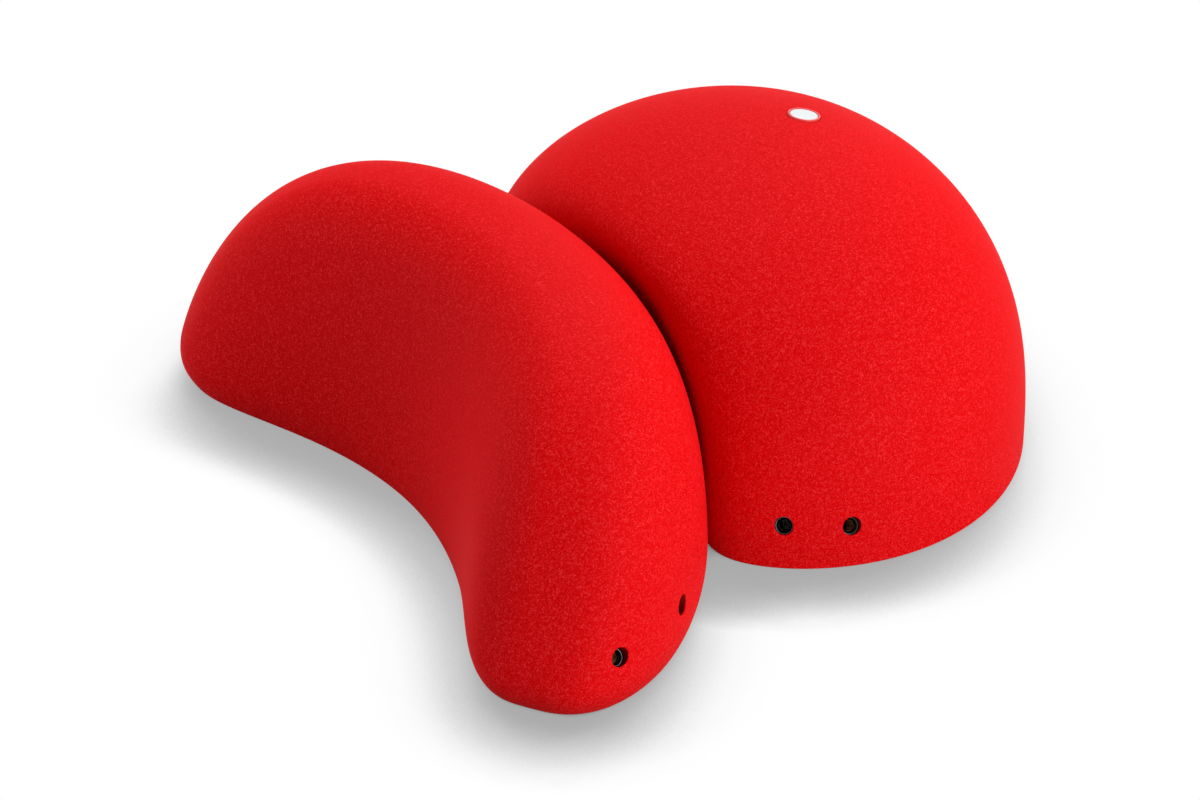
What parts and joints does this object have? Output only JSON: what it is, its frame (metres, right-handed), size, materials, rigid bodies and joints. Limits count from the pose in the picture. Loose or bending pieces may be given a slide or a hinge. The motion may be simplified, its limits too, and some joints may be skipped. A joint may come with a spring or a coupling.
{
  "type": "jug climbing hold",
  "caption": "Screw-on climbing volume pair: a smooth kidney-shaped jug nested against a rounded dome, hollow-backed, with angled screw holes near the wall.",
  "frame": {"origin": "centre of the set's footprint on the wall plane, which is z = 0", "axes": "+Z out of the wall, +X from the crescent to the dome, +Y along the gap between them to their far ends"},
  "size_m": [0.4444, 0.4616, 0.1771],
  "materials": {
    "textured_red": "fine even grit in red resin, matte",
    "plywood": "sawn birch plywood, unfinished",
    "block_wood": "glued softwood block, unfinished",
    "zinc_steel": "zinc plated, slightly dull",
    "badge_red": "smooth, satin",
    "badge_white": "smooth, satin"
  },
  "bodies": {
    "dome_hold": {"dome_shell": "textured_red", "dome_base_plate": "plywood", "dome_end_block_near": "block_wood", "dome_end_block_far": "block_wood", "dome_former_long": "plywood", "dome_former_cross": "plywood", "dome_screw_cup_near_tip": "zinc_steel", "dome_screw_cup_near_side": "zinc_steel", "dome_screw_cup_far_tip": "zinc_steel", "dome_screw_cup_far_side": "zinc_steel", "badge_rim": "badge_red", "badge_disc": "badge_white"},
    "crescent_hold": {"crescent_shell": "textured_red", "crescent_base_plate": "plywood", "crescent_end_block_near": "block_wood", "crescent_end_block_far": "block_wood", "crescent_former_near": "plywood", "crescent_former_middle": "plywood", "crescent_former_far": "plywood", "crescent_screw_cup_near_tip": "zinc_steel", "crescent_screw_cup_near_side": "zinc_steel", "crescent_screw_cup_far_tip": "zinc_steel", "crescent_screw_cup_far_side": "zinc_steel"}
  },
  "joints": [
    {"name": "crescent_shift", "type": "slide", "parent": "dome_hold", "child": "crescent_hold", "axis": [-1, 0, 0], "range_m": [0, 0.15]}
  ]
}
